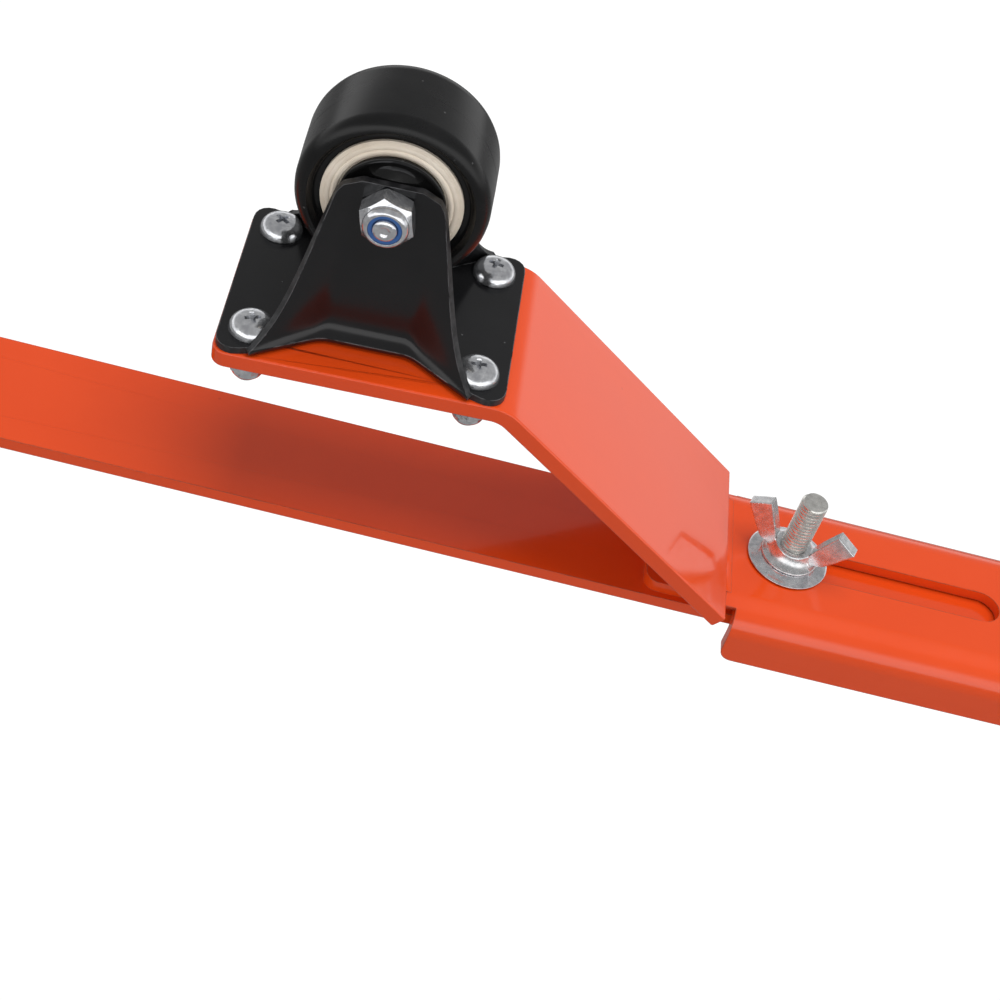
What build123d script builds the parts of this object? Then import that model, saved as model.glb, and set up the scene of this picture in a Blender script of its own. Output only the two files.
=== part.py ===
"""Roof-ridge ladder hook: a flat hook bar that lies along a ladder, a T-bar that goes over the
ridge, a sliding channel that clamps a second rung, and a wheel that rolls the ladder up the roof.

Frame: the origin is the centre of the load-bearing ladder rung, +X runs from the T-bar towards
the foot of the ladder, +Z points to the wheel's side, and Y is across the bar. Millimetres.
"""
import os
from math import cos, radians, sin, sqrt

from build123d import *

# ---------------------------------------------------------------- driving dimensions
# Ladder rungs and their rubber-lined seats
rung_radius = 16.0
rung_pitch = 305.0
liner_wall = 4.0
lip_length = 10.0

# Hook bar, bent from flat steel
bar_width = 40.0
bar_wall = 4.0
bar_reach = 722.0          # load seat to the top of the drop arm
bar_bend_radius = 14.0
arm_length = 200.0
arm_lean = 5.0             # degrees that the arm leans out past square
guide_wall = 4.0
guide_width = 36.0
guide_start = 460.0        # load seat to the guide plate's two ends
guide_end = 175.0
guide_corner = 4.0

# Sliding channel
channel_wall = 3.5
channel_flange = 19.2      # height over the web's top face
channel_bend = 10.0
channel_start = 437.0      # load seat to the channel's two ends
channel_end = 160.0
flange_relief = 4.0        # how far the flanges stand back from the bracket
flange_corner = 4.0
slot_width = 11.5
slot_travel = 62.0
slot_end_gap = 0.75
slide_gap = 0.5            # clearance over and under the bar
side_gap = 4.0             # clearance beside the bar, which leaves room for the channel's bends

# Clamp bolts, washers and wing nuts (M8)
bolt_radius = 4.0
bolt_pitch = 1.25
bolt_spacing = 165.0
bolt_inset = 18.2          # channel end to the first bolt
bolt_height = 25.0         # bolt tip above the web
bolt_head_radius = 8.5
bolt_head_height = 3.5
washer_radius = 12.3
washer_wall = 1.6
washer_gap = 0.4
nut_gap = 0.1
wing_hub_foot = 8.7
wing_hub_top = 5.6
wing_hub_height = 4.7
wing_root = 6.5            # height of the wing's inner edge at the hub
wing_rise = 16.2           # height of the wing's inner top corner
wing_inner = 10.8          # bolt's centre to that corner
wing_reach = 17.0          # bolt's centre to the wing's outer top corner
wing_drop = 3.6            # how far the outer corner is below the inner one
wing_wall = 3.6
wing_turn = -20.5          # degrees about the bolt at rest

# Wheel bracket, bent from flat steel and butt-welded to the channel's end
bracket_width = 61.0
bracket_wall = 5.0
bracket_slope = 36.5       # degrees
bracket_tilt = 3.2         # degrees, the shelf rises towards the bend
slope_length = 97.0
shelf_length = 79.0
bracket_bend = 12.0
bracket_corner = 4.0

# Fixed caster (50 mm wheel)
wheel_radius = 25.0
tread_width = 27.2
tread_shoulder = 3.2
core_radius = 18.2
core_width = 24.5
axle_height = 44.4
caster_inset = 40.0        # shelf bend to the wheel's centre, along the shelf
plate_length = 77.0
plate_width = 64.0
plate_corner = 6.0
fork_wall = 2.0
fork_gap = 28.0            # between the two legs
leg_top_width = 25.0
leg_top_corner = 7.0
leg_over_axle = 7.6
leg_flare_height = 20.0
leg_flare_width = 56.0
leg_flare_top = 38.0
waist_width = 20.0
screw_spacing_x = 60.0
screw_spacing_y = 42.5
screw_radius = 3.0
screw_head_radius = 6.1
screw_head_height = 4.0
screw_length = 16.0
screw_slot = 9.2
screw_slot_shift = 1.1
screw_nut_across = 10.0
screw_nut_height = 8.0     # lock nuts

# Caster axle, bearings and thread guards (M8 axle, 22 mm bearings)
axle_radius = 4.0
axle_nut_across = 13.0
axle_head_height = 5.3
axle_nut_height = 6.6
axle_nut_collar = 1.4
axle_end = 1.2             # thread that shows past the nut
hexagon_dome = 0.6         # how far the hexagons' corners are turned off
bearing_radius = 11.0
bearing_width = 7.0
bearing_inner_wall = 1.6
bearing_outer_wall = 1.6
bearing_inset = 2.5        # fork leg to the bearing's face
ball_count = 7
guard_radius = 13.8
guard_wall = 1.2
guard_gap = 0.5

# T-bar over the ridge
tee_length = 400.0
tee_size = 25.0
tee_wall = 2.0
tee_bolt_spacing = 20.0
tee_bolt_across = 13.0
tee_bolt_head = 5.3
tee_nut_height = 6.5
sleeve_length = 90.0
sleeve_wall = 3.0
cap_wall = 3.0
cap_depth = 12.0

# Fits
bore_fit = 0.1             # radial, bolt or axle in a plain hole
thread_fit = 0.05          # radial, nut on its bolt
hole_fit = 0.3             # radial, screw in a punched hole

# ---------------------------------------------------------------- worked-out levels and places
seat_radius = rung_radius + liner_wall
bar_bottom = seat_radius
bar_top = bar_bottom + bar_wall
guide_top = bar_top + guide_wall
web_bottom = guide_top + slide_gap
web_top = web_bottom + channel_wall
channel_inner = bar_width + 2 * side_gap
channel_width = channel_inner + 2 * channel_wall
flange_bottom = web_top - channel_flange
channel_length = channel_start - channel_end
bolt_1_x = -channel_start + bolt_inset
bolt_places = (bolt_1_x, bolt_1_x + bolt_spacing)
bolt_tip = web_top + bolt_height
washer_bottom = web_top + washer_gap
washer_top = washer_bottom + washer_wall
nut_foot = washer_top + nut_gap
lock_x = -rung_pitch
slot_shift = slot_width / 2 - bolt_radius - slot_end_gap
slot_centres = slot_travel + 2 * (bolt_radius + slot_end_gap) - slot_width
head_drive_radius = screw_head_radius / 3


def along(start, angle, distance):
    """The point at a distance from start, at an angle in degrees above +X in the XZ plane."""
    return (start[0] + distance * cos(radians(angle)), start[1] + distance * sin(radians(angle)))


def offset_path(points, shift):
    """The same open path of (x, z) points, moved to its left side by shift."""
    normals = []
    for (x0, z0), (x1, z1) in zip(points, points[1:]):
        length = sqrt((x1 - x0) ** 2 + (z1 - z0) ** 2)
        normals.append((-(z1 - z0) / length, (x1 - x0) / length))
    moved = [(points[0][0] + shift * normals[0][0], points[0][1] + shift * normals[0][1])]
    for point, before, after in zip(points[1:-1], normals, normals[1:]):
        share = shift / (1 + before[0] * after[0] + before[1] * after[1])
        moved.append((point[0] + share * (before[0] + after[0]),
                      point[1] + share * (before[1] + after[1])))
    moved.append((points[-1][0] + shift * normals[-1][0], points[-1][1] + shift * normals[-1][1]))
    return moved


# The bracket's outer face: shelf end, bend corner and foot, in (x, z)
foot_top = web_bottom + bracket_wall * cos(radians(bracket_slope))
bracket_foot = (-channel_start, foot_top)
bracket_knee = along(bracket_foot, 180 - bracket_slope, slope_length)
bracket_end = along(bracket_knee, 180 + bracket_tilt, shelf_length)
caster_foot = along(bracket_knee, 180 + bracket_tilt, caster_inset)

caster_plane = Plane(origin=(caster_foot[0], 0, caster_foot[1]),
                     x_dir=(cos(radians(bracket_tilt)), 0, sin(radians(bracket_tilt))),
                     z_dir=(-sin(radians(bracket_tilt)), 0, cos(radians(bracket_tilt))))
axle_origin = caster_plane.from_local_coords(Vector(0, 0, axle_height))
axle_plane = Plane(origin=axle_origin, x_dir=caster_plane.x_dir, z_dir=(0, -1, 0))
leg_plane = Plane(origin=caster_plane.origin, x_dir=caster_plane.x_dir, z_dir=(0, -1, 0))
guard_plane = Plane(origin=axle_origin, x_dir=caster_plane.x_dir, z_dir=caster_plane.z_dir)


def save(part, name):
    """Label a finished piece and write it as its own STEP file."""
    part.label = name
    export_step(part, f"parts/{name}.step")


def ring(plane, outer, inner, depth):
    """A plain ring that grows from a plane along its normal."""
    with BuildPart() as piece:
        with BuildSketch(plane):
            Circle(outer)
            if inner:
                Circle(inner, mode=Mode.SUBTRACT)
        extrude(amount=depth)
    return piece.part


def hexagon(plane, across, bore, depth):
    """A hexagon nut or bolt head on a plane, with its outer corners turned off by a cone."""
    corner = across / sqrt(3)
    with BuildPart() as piece:
        with BuildSketch(plane):
            RegularPolygon(radius=corner, side_count=6)
            if bore:
                Circle(bore, mode=Mode.SUBTRACT)
        extrude(amount=depth)
        with BuildSketch(plane):
            Circle(corner)
        with BuildSketch(plane.offset(depth)):
            Circle(corner - hexagon_dome)
        loft(mode=Mode.INTERSECT)
    return piece.part


def sheet_section(path, wall, radius):
    """Draw a bent sheet's section: path is its outer face, and the wall lies to the right."""
    inner = offset_path(path, -wall)
    FilletPolyline(*path, radius=radius)
    FilletPolyline(*inner, radius=radius - wall)
    Line(path[0], inner[0])
    Line(path[-1], inner[-1])


os.makedirs("parts", exist_ok=True)

# ---------------------------------------------------------------- hook bar
arm_top = (-bar_reach, bar_top)
arm_tip = along(arm_top, -90 - arm_lean, arm_length)
arm_plane = Plane(origin=(arm_tip[0], 0, arm_tip[1]), x_dir=(0, 1, 0),
                  z_dir=(cos(radians(arm_lean)), 0, -sin(radians(arm_lean)))).offset(bar_wall)
with BuildPart() as hook_bar:
    with BuildSketch(Plane.XZ):
        with BuildLine():
            outer = [arm_tip, arm_top, (0, bar_top)]
            inner = offset_path(outer, -bar_wall)
            FilletPolyline(*outer, radius=bar_bend_radius)
            FilletPolyline(inner[0], inner[1], (0, bar_bottom), radius=bar_bend_radius - bar_wall)
            Line(outer[0], inner[0])
            CenterArc((0, 0), seat_radius + bar_wall, -90, 180)
            CenterArc((0, 0), seat_radius, -90, 180)
            Line((0, -seat_radius), (-lip_length, -seat_radius))
            Line((-lip_length, -seat_radius), (-lip_length, -seat_radius - bar_wall))
            Line((-lip_length, -seat_radius - bar_wall), (0, -seat_radius - bar_wall))
        make_face()
    extrude(amount=bar_width / 2, both=True)
    # square holes under the two clamp bolts
    with BuildSketch(Plane.XY.offset(bar_bottom)):
        with Locations(*[(x, 0) for x in bolt_places]):
            Rectangle(2 * (bolt_radius + bore_fit), 2 * (bolt_radius + bore_fit))
    extrude(amount=bar_wall, mode=Mode.SUBTRACT)
    # two holes for the T-bar's bolts, square to the arm
    with BuildSketch(arm_plane):
        with Locations((-tee_bolt_spacing / 2, tee_size / 2), (tee_bolt_spacing / 2, tee_size / 2)):
            Circle(bolt_radius + bore_fit)
    extrude(amount=2 * bar_wall, both=True, mode=Mode.SUBTRACT)
save(hook_bar.part, "hook_bar")

with BuildPart() as load_hook_liner:
    with BuildSketch(Plane.XZ):
        with BuildLine():
            CenterArc((0, 0), seat_radius, -90, 180)
            CenterArc((0, 0), rung_radius, -90, 180)
            Line((0, seat_radius), (0, rung_radius))
            Line((0, -seat_radius), (0, -rung_radius))
        make_face()
        with Locations((-lip_length / 2, (seat_radius + rung_radius) / 2),
                       (-lip_length / 2, -(seat_radius + rung_radius) / 2)):
            Rectangle(lip_length, liner_wall)
    extrude(amount=bar_width / 2, both=True)
save(load_hook_liner.part, "load_hook_liner")

with BuildPart() as guide_plate:
    with BuildSketch(Plane.XY.offset(bar_top)):
        with Locations((-(guide_start + guide_end) / 2, 0)):
            RectangleRounded(guide_start - guide_end, guide_width, guide_corner)
        with Locations(*[(x, 0) for x in bolt_places]):
            Circle(bolt_radius + bore_fit, mode=Mode.SUBTRACT)
    extrude(amount=guide_wall)
save(guide_plate.part, "guide_plate")

# ---------------------------------------------------------------- sliding channel
with BuildPart() as channel:
    with BuildSketch(Plane.YZ.offset(-channel_start)):
        with BuildLine():
            far_side = channel_width / 2
            sheet_section([(-far_side, flange_bottom), (-far_side, web_top),
                           (far_side, web_top), (far_side, flange_bottom)], channel_wall, channel_bend)
        make_face()
    extrude(amount=channel_length)
    # the flanges stand back from the bracket, with a rounded lower corner
    with BuildSketch(Plane.XZ):
        with Locations((-channel_start + flange_relief / 2, (flange_bottom + web_bottom) / 2)):
            Rectangle(flange_relief, web_bottom - flange_bottom)
    extrude(amount=channel_width / 2, both=True, mode=Mode.SUBTRACT)
    flange_corners = channel.edges().filter_by(Axis.Y).group_by(Axis.Z)[0]
    fillet(flange_corners, radius=flange_corner)
    # one slot for each clamp bolt
    with BuildSketch(Plane.XY.offset(web_bottom)):
        for bolt_x in bolt_places:
            with Locations((bolt_x + slot_shift + slot_centres / 2, 0)):
                SlotCenterToCenter(slot_centres, slot_width)
    extrude(amount=channel_wall, mode=Mode.SUBTRACT)
    # the flanges are notched round the locked rung
    with BuildSketch(Plane.XZ):
        with Locations((lock_x, 0)):
            Circle(seat_radius)
    extrude(amount=channel_width / 2, both=True, mode=Mode.SUBTRACT)
save(channel.part, "channel")

# ---------------------------------------------------------------- lock hook in the channel
tab_top = bar_bottom - slide_gap
tab_start = bolt_1_x + bolt_head_radius + slot_travel + 4 * slide_gap
hook_left = lock_x - seat_radius
with BuildPart() as lock_hook:
    with BuildSketch(Plane.XZ):
        with BuildLine():
            Line((hook_left - bar_wall, 0), (hook_left - bar_wall, tab_top))
            Line((hook_left - bar_wall, tab_top), (hook_left, tab_top))
            Line((hook_left, tab_top), (hook_left, 0))
            CenterArc((lock_x, 0), seat_radius, 180, 90)
            Line((lock_x, -seat_radius), (lock_x, -seat_radius - bar_wall))
            CenterArc((lock_x, 0), seat_radius + bar_wall, 180, 90)
        make_face()
        with Locations((lock_x + lip_length / 2, -seat_radius - bar_wall / 2)):
            Rectangle(lip_length, bar_wall)
        with Locations(((tab_start + hook_left) / 2, tab_top - bar_wall / 2)):
            Rectangle(hook_left - tab_start, bar_wall)
    extrude(amount=channel_inner / 2, both=True)
save(lock_hook.part, "lock_hook")

with BuildPart() as lock_hook_liner:
    with BuildSketch(Plane.XZ):
        with BuildLine():
            Line((hook_left, 0), (hook_left, tab_top))
            Line((hook_left, tab_top), (hook_left + liner_wall, tab_top))
            Line((hook_left + liner_wall, tab_top), (hook_left + liner_wall, 0))
            CenterArc((lock_x, 0), rung_radius, 180, 90)
            Line((lock_x, -rung_radius), (lock_x, -seat_radius))
            CenterArc((lock_x, 0), seat_radius, 180, 90)
        make_face()
        with Locations((lock_x + lip_length / 2, -(seat_radius + rung_radius) / 2)):
            Rectangle(lip_length, liner_wall)
    extrude(amount=channel_inner / 2, both=True)
save(lock_hook_liner.part, "lock_hook_liner")

# ---------------------------------------------------------------- wheel bracket and its weld
with BuildPart() as wheel_bracket:
    with BuildSketch(Plane.XZ):
        with BuildLine():
            sheet_section([bracket_end, bracket_knee, bracket_foot], bracket_wall, bracket_bend)
        make_face()
    extrude(amount=bracket_width / 2, both=True)
    shelf_corners = wheel_bracket.edges().filter_by(Axis((0, 0, 0), caster_plane.z_dir))
    fillet(shelf_corners, radius=bracket_corner)
    # clearance holes under the caster's four screws
    with BuildSketch(caster_plane):
        with GridLocations(screw_spacing_x, screw_spacing_y, 2, 2):
            Circle(screw_radius + hole_fit)
    extrude(amount=-2 * bracket_wall, mode=Mode.SUBTRACT)
save(wheel_bracket.part, "wheel_bracket")

foot_low = offset_path([bracket_knee, bracket_foot], -bracket_wall)[-1]
with BuildPart() as bracket_weld:
    with BuildSketch(Plane.XZ):
        with BuildLine():
            Polyline(bracket_foot, foot_low, (-channel_start, web_bottom), (-channel_start, web_top),
                     bracket_foot)
        make_face()
    extrude(amount=channel_width / 2 - channel_bend, both=True)
save(bracket_weld.part, "bracket_weld")

# ---------------------------------------------------------------- caster fork
leg_face = fork_gap / 2 + fork_wall
with BuildPart() as caster_fork:
    with BuildSketch(caster_plane):
        RectangleRounded(plate_length, plate_width, plate_corner)
        for side in (-1, 1):
            with BuildLine():
                Polyline((-leg_flare_width / 2, side * plate_width / 2),
                         (-waist_width / 2, side * leg_face),
                         (waist_width / 2, side * leg_face),
                         (leg_flare_width / 2, side * plate_width / 2),
                         (0, side * plate_width), close=True)
            make_face(mode=Mode.SUBTRACT)
        for side in (-1, 1):
            with Locations((-screw_slot_shift, side * screw_spacing_y / 2)):
                with GridLocations(screw_spacing_x, 0, 2, 1):
                    SlotOverall(screw_slot, 2 * (screw_radius + hole_fit), mode=Mode.SUBTRACT)
    extrude(amount=fork_wall)
    # two upright legs that narrow towards their rounded tops
    for side in (-1, 1):
        with BuildSketch(leg_plane.offset(-side * fork_gap / 2 - (fork_wall if side > 0 else 0))):
            with BuildLine():
                Polyline((-leg_flare_top / 2, 0),
                         (leg_flare_top / 2, 0),
                         (leg_flare_top / 2, leg_flare_height),
                         (leg_top_width / 2, axle_height + leg_over_axle),
                         (-leg_top_width / 2, axle_height + leg_over_axle),
                         (-leg_flare_top / 2, leg_flare_height), close=True)
            make_face()
            fillet(vertices().group_by(Axis.Z)[-1], radius=leg_top_corner)
            with Locations((0, axle_height)):
                Circle(axle_radius + bore_fit, mode=Mode.SUBTRACT)
        extrude(amount=fork_wall)
    # flares that lead each leg's two edges out to the plate's corners
    for end in (-1, 1):
        for side in (-1, 1):
            with BuildSketch(caster_plane.offset(fork_wall / 2)):
                with BuildLine():
                    Polyline((end * waist_width / 2, side * leg_face),
                             (end * leg_flare_width / 2, side * plate_width / 2),
                             (end * (leg_flare_width / 2 + fork_wall), side * (plate_width / 2 - fork_wall)),
                             (end * waist_width / 2, side * (leg_face - fork_wall)), close=True)
                make_face()
            with BuildSketch(caster_plane.offset(leg_flare_height)):
                with BuildLine():
                    Polyline((end * waist_width / 2, side * leg_face),
                             (end * leg_flare_top / 2, side * leg_face),
                             (end * leg_flare_top / 2, side * (leg_face - fork_wall)),
                             (end * waist_width / 2, side * (leg_face - fork_wall)), close=True)
                make_face()
            loft()
save(caster_fork.part, "caster_fork")

# ---------------------------------------------------------------- caster screws and nuts
screw_places = [caster_plane.from_local_coords(Vector(x * screw_spacing_x / 2, y * screw_spacing_y / 2, 0))
                for x in (-1, 1) for y in (-1, 1)]
with BuildPart() as caster_screws:
    for place in screw_places:
        seat = Plane(origin=place, x_dir=caster_plane.x_dir, z_dir=caster_plane.z_dir).offset(fork_wall)
        with BuildSketch(seat):
            Circle(screw_head_radius)
        with BuildSketch(seat.offset(screw_head_height)):
            Circle(screw_head_radius / 2)
        loft()
        with BuildSketch(seat):
            Circle(screw_radius)
        extrude(amount=-screw_length)
        with BuildSketch(seat.offset(screw_head_height)):
            Rectangle(2 * head_drive_radius, head_drive_radius / 2)
            Rectangle(head_drive_radius / 2, 2 * head_drive_radius)
        extrude(amount=-screw_head_height / 2, mode=Mode.SUBTRACT)
save(caster_screws.part, "caster_screws")

with BuildPart() as caster_nuts:
    for place in screw_places:
        seat = Plane(origin=place, x_dir=caster_plane.x_dir, z_dir=-caster_plane.z_dir).offset(bracket_wall)
        add(hexagon(seat, screw_nut_across, screw_radius + thread_fit, screw_nut_height))
save(caster_nuts.part, "caster_nuts")

# ---------------------------------------------------------------- wheel, bearings and axle
with BuildPart() as wheel_tread:
    add(ring(axle_plane.offset(-tread_width / 2), wheel_radius, core_radius, tread_width))
    tread_rims = wheel_tread.edges().filter_by(GeomType.CIRCLE).group_by(SortBy.LENGTH)[-1]
    fillet(tread_rims, radius=tread_shoulder)
save(wheel_tread.part, "wheel_tread")

bearing_face = fork_gap / 2 - bearing_inset
dish_depth = core_width / 2 - bearing_face
with BuildPart() as wheel_core:
    add(ring(axle_plane.offset(-core_width / 2), core_radius, bearing_radius, core_width))
    for face_plane in (axle_plane.offset(core_width / 2), axle_plane.offset(-core_width / 2)):
        with BuildSketch(face_plane):
            Circle(guard_radius + guard_gap)
        extrude(amount=dish_depth, both=True, mode=Mode.SUBTRACT)
save(wheel_core.part, "wheel_core")

bearing_planes = (axle_plane.offset(bearing_face - bearing_width), axle_plane.offset(-bearing_face))
inner_ring_radius = axle_radius + bore_fit + bearing_inner_wall
outer_ring_bore = bearing_radius - bearing_outer_wall
ball_track = (inner_ring_radius + outer_ring_bore) / 2
ball_radius = (outer_ring_bore - inner_ring_radius) / 2 - thread_fit
with BuildPart() as bearing_outer_rings:
    for plane in bearing_planes:
        add(ring(plane, bearing_radius, outer_ring_bore, bearing_width))
save(bearing_outer_rings.part, "bearing_outer_rings")

with BuildPart() as bearing_inner_rings:
    for plane in bearing_planes:
        add(ring(plane, inner_ring_radius, axle_radius + bore_fit, bearing_width))
save(bearing_inner_rings.part, "bearing_inner_rings")

with BuildPart() as bearing_balls:
    for plane in bearing_planes:
        with Locations(plane.offset(bearing_width / 2)):
            with PolarLocations(ball_track, ball_count):
                Sphere(ball_radius)
save(bearing_balls.part, "bearing_balls")

spacer_half = bearing_face - bearing_width
with BuildPart() as axle_spacer:
    add(ring(axle_plane.offset(-spacer_half), inner_ring_radius, axle_radius + bore_fit, 2 * spacer_half))
save(axle_spacer.part, "axle_spacer")

with BuildPart() as thread_guards:
    for outward in (-1, 1):
        with BuildSketch(guard_plane):
            with BuildLine():
                Polyline((axle_radius + bore_fit, outward * bearing_face),
                         (inner_ring_radius, outward * bearing_face),
                         (inner_ring_radius, outward * (bearing_face + guard_gap)),
                         (guard_radius, outward * (bearing_face + guard_gap)),
                         (guard_radius, outward * (bearing_face + guard_gap + guard_wall)),
                         (inner_ring_radius + guard_wall, outward * (fork_gap / 2)),
                         (axle_radius + bore_fit, outward * (fork_gap / 2)), close=True)
            make_face()
        revolve(axis=Axis(axle_origin, (0, 1, 0)))
save(thread_guards.part, "thread_guards")

nut_face = leg_face + axle_nut_height + axle_nut_collar
with BuildPart() as axle_bolt:
    add(hexagon(axle_plane.offset(-leg_face - axle_head_height), axle_nut_across, 0, axle_head_height))
    with BuildSketch(axle_plane.offset(-leg_face)):
        Circle(axle_radius)
    extrude(amount=leg_face + nut_face + axle_end)
save(axle_bolt.part, "axle_bolt")

collar_radius = axle_nut_across / 2 - axle_nut_collar / 2
with BuildPart() as axle_nut:
    add(hexagon(axle_plane.offset(leg_face), axle_nut_across, axle_radius + thread_fit, axle_nut_height))
    add(ring(axle_plane.offset(leg_face + axle_nut_height), collar_radius, collar_radius - axle_nut_collar,
             axle_nut_collar))
save(axle_nut.part, "axle_nut")

with BuildPart() as axle_nut_insert:
    add(ring(axle_plane.offset(leg_face + axle_nut_height), collar_radius - axle_nut_collar,
             axle_radius + thread_fit, axle_nut_collar / 2))
save(axle_nut_insert.part, "axle_nut_insert")

# ---------------------------------------------------------------- clamp bolts, washers, wing nuts
with BuildPart() as clamp_bolts:
    for bolt_x in bolt_places:
        with BuildSketch(Plane(origin=(bolt_x, 0, bar_bottom))):
            Circle(bolt_head_radius)
        with BuildSketch(Plane(origin=(bolt_x, 0, bar_bottom - bolt_head_height))):
            Circle(bolt_head_radius / 2)
        loft()
        with BuildSketch(Plane(origin=(bolt_x, 0, bar_bottom))):
            Rectangle(2 * bolt_radius, 2 * bolt_radius)
        extrude(amount=bar_wall)
        with BuildSketch(Plane(origin=(bolt_x, 0, bar_top))):
            Circle(bolt_radius)
        extrude(amount=bolt_tip - bar_top)
save(clamp_bolts.part, "clamp_bolts")

for number, bolt_x in enumerate(bolt_places, start=1):
    with BuildPart() as clamp_washer:
        washer_seat = Plane(origin=(bolt_x, 0, washer_bottom))
        add(ring(washer_seat, washer_radius, bolt_radius + bore_fit, washer_wall))
        fillet(clamp_washer.edges().group_by(SortBy.LENGTH)[-1].sort_by(Axis.Z)[-1], radius=washer_wall / 2)
    save(clamp_washer.part, f"clamp_washer_{number}")

    turn = radians(wing_turn)
    wing_plane = Plane(origin=(bolt_x, 0, nut_foot), x_dir=(cos(turn), sin(turn), 0),
                       z_dir=(sin(turn), -cos(turn), 0))
    with BuildPart() as wing_nut:
        with BuildSketch(Plane(origin=(bolt_x, 0, nut_foot))):
            Circle(wing_hub_foot)
        with BuildSketch(Plane(origin=(bolt_x, 0, nut_foot + wing_hub_height))):
            Circle(wing_hub_top)
        loft()
        for side in (-1, 1):
            with BuildSketch(wing_plane):
                with BuildLine():
                    Polyline((0, wing_wall / 2),
                             (side * wing_hub_foot, wing_wall / 2),
                             (side * wing_reach, wing_rise - wing_drop),
                             (side * wing_inner, wing_rise),
                             (side * wing_hub_top, wing_root),
                             (0, wing_hub_height), close=True)
                make_face()
            extrude(amount=wing_wall / 2, both=True)
        with BuildSketch(Plane(origin=(bolt_x, 0, nut_foot))):
            Circle(bolt_radius + thread_fit)
        extrude(amount=wing_rise, mode=Mode.SUBTRACT)
    save(wing_nut.part, f"wing_nut_{number}")

# ---------------------------------------------------------------- T-bar
tee_centre = arm_plane.from_local_coords(Vector(0, tee_size / 2, tee_size / 2))
tee_plane = Plane(origin=tee_centre, x_dir=arm_plane.z_dir, z_dir=(0, 1, 0))
with BuildPart() as t_bar:
    with BuildSketch(tee_plane):
        RectangleRounded(tee_size, tee_size, tee_wall)
        offset(amount=-tee_wall, kind=Kind.INTERSECTION, mode=Mode.SUBTRACT)
    extrude(amount=tee_length / 2, both=True)
    with BuildSketch(arm_plane):
        with Locations((-tee_bolt_spacing / 2, tee_size / 2), (tee_bolt_spacing / 2, tee_size / 2)):
            Circle(bolt_radius + bore_fit)
    extrude(amount=tee_size, mode=Mode.SUBTRACT)
save(t_bar.part, "t_bar")

tee_bolt_places = [arm_plane.from_local_coords(Vector(side * tee_bolt_spacing / 2, tee_size / 2, 0))
                   for side in (-1, 1)]
with BuildPart() as t_bar_bolts:
    for place in tee_bolt_places:
        head_seat = Plane(origin=place, x_dir=(0, 1, 0), z_dir=-arm_plane.z_dir).offset(bar_wall)
        add(hexagon(head_seat, tee_bolt_across, 0, tee_bolt_head))
        with BuildSketch(head_seat):
            Circle(bolt_radius)
        extrude(amount=-(bar_wall + tee_size + tee_nut_height + axle_end))
save(t_bar_bolts.part, "t_bar_bolts")

with BuildPart() as t_bar_nuts:
    for place in tee_bolt_places:
        nut_seat = Plane(origin=place, x_dir=(0, 1, 0), z_dir=arm_plane.z_dir).offset(tee_size)
        add(hexagon(nut_seat, tee_bolt_across, bolt_radius + thread_fit, tee_nut_height))
save(t_bar_nuts.part, "t_bar_nuts")

for side, hand in ((-1, "near"), (1, "far")):
    tip_plane = tee_plane.offset(side * (tee_length / 2))
    with BuildPart() as rubber_sleeve:
        with BuildSketch(tip_plane):
            RectangleRounded(tee_size + 2 * sleeve_wall, tee_size + 2 * sleeve_wall, tee_wall + sleeve_wall)
            RectangleRounded(tee_size, tee_size, tee_wall, mode=Mode.SUBTRACT)
        extrude(amount=-side * sleeve_length)
    save(rubber_sleeve.part, f"rubber_sleeve_{hand}")

    with BuildPart() as end_cap:
        with BuildSketch(tip_plane):
            RectangleRounded(tee_size, tee_size, tee_wall)
        extrude(amount=side * cap_wall)
        with BuildSketch(tip_plane):
            Rectangle(tee_size - 2 * tee_wall, tee_size - 2 * tee_wall)
            Rectangle(tee_size - 4 * tee_wall, tee_size - 4 * tee_wall, mode=Mode.SUBTRACT)
        extrude(amount=-side * cap_depth)
    save(end_cap.part, f"end_cap_{hand}")
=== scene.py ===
# %% [markdown]
# # A wheeled roof ridge hook for a ladder
# The hook is mostly bent flat steel with an orange powder coat. A sliding channel carries a bent
# bracket with a small black caster, and wing nuts clamp the channel to the bar. The CAD model gives
# every place and size. This script remakes the pieces whose edges, threads and pressed curves the
# CAD leaves plain, and gives every piece its finish.

# %% Load the CAD model
from math import asin, ceil, cos, exp, pi, radians, sin, sqrt, tan

import bmesh
import bpy
from mathutils import Matrix, Vector


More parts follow.
